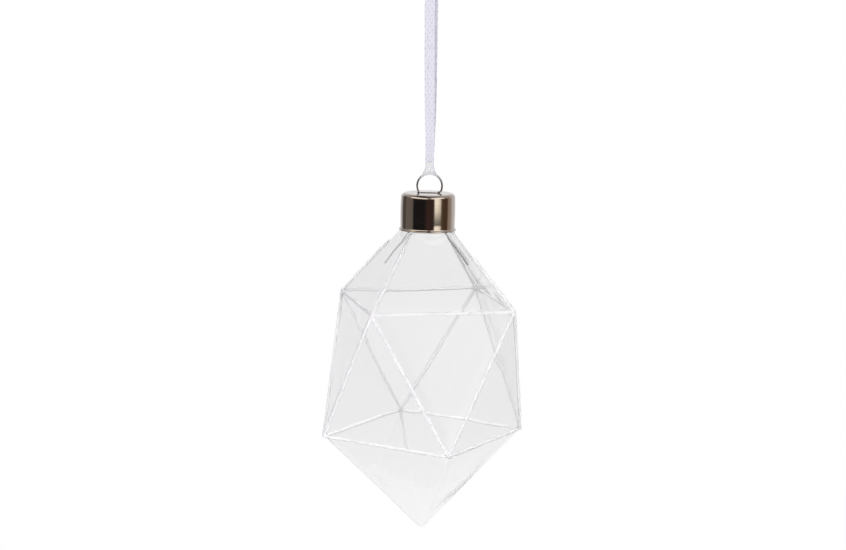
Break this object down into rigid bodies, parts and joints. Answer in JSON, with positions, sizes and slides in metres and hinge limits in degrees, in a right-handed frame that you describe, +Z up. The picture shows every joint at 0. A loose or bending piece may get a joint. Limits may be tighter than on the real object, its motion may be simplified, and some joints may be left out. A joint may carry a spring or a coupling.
{
  "type": "hanging glass ornament",
  "caption": "Hollow clear glass ornament, a faceted drop of triangles with glitter lines on its edges, under a metal cap and wire eye, on a ribbon loop.",
  "frame": {"origin": "the hanging point: just under the ribbon's knot, where a hook or twig passes between the two strands", "axes": "+Z up along the hanging axis; the cap's slot and the wire eye lie in the XZ plane; -Y is the front"},
  "size_m": [0.0738, 0.0738, 0.213],
  "materials": {
    "clear_glass": "thin clear blown glass, polished",
    "dark_chrome": "dark bronze-grey chrome plate, polished",
    "steel_wire": "drawn spring wire, dull plate",
    "satin_ribbon": "narrow white ribbon with a faint lavender cast, fine diagonal weave",
    "silver_glitter": "white glitter set in clear glue"
  },
  "bodies": {
    "ribbon": {"ribbon_front_strand": "satin_ribbon", "ribbon_back_strand": "satin_ribbon", "ribbon_knot": "satin_ribbon"},
    "ribbon_loop": {"ribbon_fold": "satin_ribbon"},
    "hanger": {"cap": "dark_chrome", "hanger_clip": "steel_wire"},
    "glass": {"glass_body": "clear_glass", "glitter_top_front_right": "silver_glitter", "glitter_upper_ring_right": "silver_glitter", "glitter_side_front_rising_right": "silver_glitter", "glitter_side_right_rising_left": "silver_glitter", "glitter_lower_ring_front_right": "silver_glitter", "glitter_top_back_right": "silver_glitter", "glitter_upper_ring_back": "silver_glitter", "glitter_side_right_rising_right": "silver_glitter", "glitter_side_back_rising_left": "silver_glitter", "glitter_lower_ring_back_right": "silver_glitter", "glitter_top_back_left": "silver_glitter", "glitter_upper_ring_left": "silver_glitter", "glitter_side_back_rising_right": "silver_glitter", "glitter_side_left_rising_left": "silver_glitter", "glitter_lower_ring_back_left": "silver_glitter", "glitter_top_front_left": "silver_glitter", "glitter_upper_ring_front": "silver_glitter", "glitter_side_left_rising_right": "silver_glitter", "glitter_side_front_rising_left": "silver_glitter", "glitter_lower_ring_front_left": "silver_glitter", "glitter_tip_back": "silver_glitter"}
  },
  "joints": [
    {"name": "ribbon_twist", "type": "hinge", "parent": "ribbon", "child": "ribbon_loop", "pos_m": [0, 0, -0.06265], "axis": [0, 0, 1], "range_deg": [-180, 180]},
    {"name": "ornament_swing", "type": "hinge", "parent": "ribbon_loop", "child": "hanger", "pos_m": [0, 0, -0.067], "axis": [1, 0, 0], "range_deg": [-60, 60]},
    {"name": "glass_pull_off", "type": "slide", "parent": "hanger", "child": "glass", "axis": [0, 0, -1], "range_m": [0, 0.028], "deforming": ["hanger_clip"]}
  ]
}
